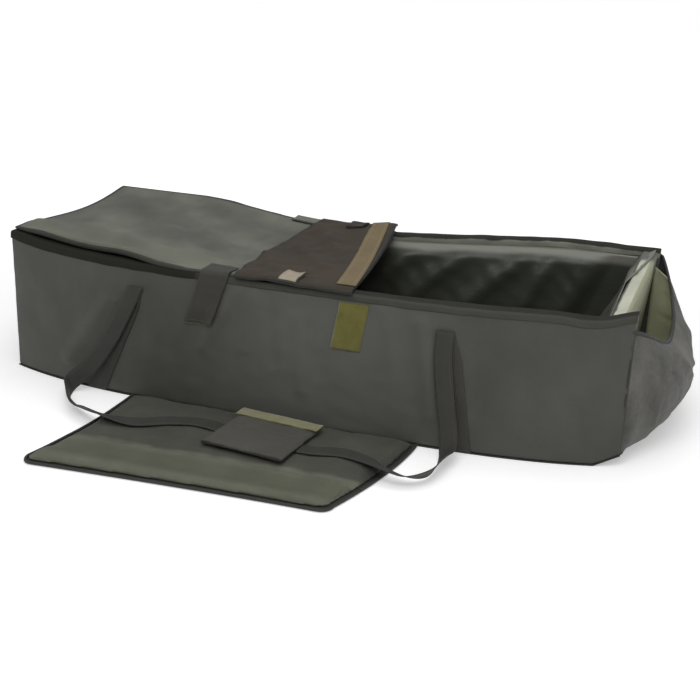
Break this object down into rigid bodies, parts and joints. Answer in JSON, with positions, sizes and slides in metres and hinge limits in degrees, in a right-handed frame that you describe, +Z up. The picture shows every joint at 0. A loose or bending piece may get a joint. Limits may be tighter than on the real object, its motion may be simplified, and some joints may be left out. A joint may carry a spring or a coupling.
{
  "type": "carp cradle",
  "caption": "Long foam-walled carp cradle with a folded-back cloth lid, kneeling mat, webbing handles and an end pocket.",
  "frame": {"origin": "centre of the tub's underside, on the ground", "axes": "+X along the tub from the lid's end to the pocket's end, +Y from the kneeling mat's side to the back, +Z up"},
  "size_m": [1.1918, 0.9625, 0.2668],
  "materials": {
    "cover": "matt woven polyester with a coated back",
    "lid": "thin woven polyester",
    "binding": "narrow woven edge binding",
    "liner": "smooth wipe-clean coated cloth",
    "olive_lining": "soft coated cloth",
    "brown_lining": "thin coated cloth",
    "beige_band": "hook tape",
    "beige_hook": "hook tape",
    "olive_loop": "loop tape",
    "strap": "doubled woven polyester",
    "webbing": "flat woven webbing",
    "mat": "matt woven polyester over foam",
    "grip": "padded woven polyester",
    "foam": "closed-cell foam",
    "ground_sheet": "heavy coated cloth"
  },
  "bodies": {
    "tub": {"ground_sheet": "ground_sheet", "base_foam": "foam", "floor_liner": "liner", "front_wall_cover": "cover", "front_wall_foam": "foam", "front_rim_binding": "binding", "back_wall_cover": "cover", "back_wall_foam": "foam", "back_rim_binding": "binding", "front_wall_liner": "liner", "back_wall_liner": "liner", "left_end_cover": "cover", "left_end_foam": "foam", "left_rim_binding": "binding", "left_end_liner": "liner", "right_end_cover": "olive_lining", "right_end_foam": "foam", "right_end_liner": "liner", "end_pocket_cloth": "cover", "end_pocket_lining": "olive_lining", "end_pocket_binding": "binding", "front_loop_patch_left": "olive_loop", "front_loop_patch_right": "olive_loop", "back_loop_patch_left": "olive_loop", "back_loop_patch_right": "olive_loop", "front_webbing_left": "webbing", "front_webbing_right": "webbing", "back_webbing_left": "webbing", "back_webbing_right": "webbing"},
    "lid": {"lid_lining": "brown_lining", "lid_panel": "lid", "lid_front_strap_root": "strap", "lid_back_strap_root": "strap"},
    "front_strap": {"lid_front_strap": "strap", "lid_front_strap_hook": "beige_hook"},
    "back_strap": {"lid_back_strap": "strap", "lid_back_strap_hook": "beige_hook"},
    "flap": {"flap_panel": "lid", "flap_lining": "brown_lining", "flap_cross_band": "beige_band"},
    "front_tab": {"flap_front_tab": "strap", "flap_front_tab_hook": "beige_hook"},
    "back_tab": {"flap_back_tab": "strap", "flap_back_tab_hook": "beige_hook"},
    "front_handle": {"front_handle_loop": "webbing", "grip_rear_leaf": "grip", "grip_hook_strip": "olive_loop"},
    "grip_leaf": {"grip_front_leaf": "grip"},
    "back_handle": {"back_handle_loop": "webbing"},
    "mat_rear": {"mat_rear_cover": "mat", "mat_rear_foam": "foam", "mat_rear_backing": "ground_sheet", "mat_rear_binding_left": "binding", "mat_rear_binding_right": "binding"},
    "mat_front": {"mat_front_cover": "mat", "mat_front_foam": "foam", "mat_front_backing": "ground_sheet", "mat_front_binding": "binding"}
  },
  "joints": [
    {"name": "lid_open", "type": "hinge", "parent": "tub", "child": "lid", "pos_m": [-0.554, 0, 0.2584], "axis": [0, -1, 0], "range_deg": [0, 170]},
    {"name": "front_strap_peel", "type": "hinge", "parent": "lid", "child": "front_strap", "pos_m": [-0.126, -0.27057, 0.24846], "axis": [-1, 0, 0], "range_deg": [0, 150]},
    {"name": "back_strap_peel", "type": "hinge", "parent": "lid", "child": "back_strap", "pos_m": [-0.126, 0.18102, 0.24298], "axis": [0.9918, -0.1141, -0.057], "range_deg": [0, 150]},
    {"name": "flap_unfold", "type": "hinge", "parent": "lid", "child": "flap", "pos_m": [0.088, -0.04432, 0.24831], "axis": [-0.1289, 0.9917, 0], "range_deg": [0, 165]},
    {"name": "flap_front_tab_swing", "type": "hinge", "parent": "flap", "child": "front_tab", "pos_m": [0.003, -0.2758, 0.2554], "axis": [1, 0, 0], "range_deg": [0, 165]},
    {"name": "flap_back_tab_swing", "type": "hinge", "parent": "flap", "child": "back_tab", "pos_m": [-0.018, 0.18173, 0.24619], "axis": [-1, 0, 0], "range_deg": [0, 165]},
    {"name": "front_handle_lift", "type": "hinge", "parent": "tub", "child": "front_handle", "pos_m": [0, -0.26796, 0.20357], "axis": [-1, 0, 0], "range_deg": [0, 110]},
    {"name": "grip_close", "type": "hinge", "parent": "front_handle", "child": "grip_leaf", "pos_m": [0.0045, -0.3715, 0.028], "axis": [-0.9936, 0.1132, 0], "range_deg": [0, 165]},
    {"name": "back_handle_lift", "type": "hinge", "parent": "tub", "child": "back_handle", "pos_m": [0, 0.2036, 0.20773], "axis": [1, 0, 0], "range_deg": [0, 90]},
    {"name": "mat_pull_off", "type": "slide", "parent": "tub", "child": "mat_rear", "axis": [0, -1, 0], "range_m": [0, 0.35]},
    {"name": "mat_fold", "type": "hinge", "parent": "mat_rear", "child": "mat_front", "pos_m": [0, -0.4611, 0.005], "axis": [-1, 0, 0], "range_deg": [0, 78]}
  ]
}
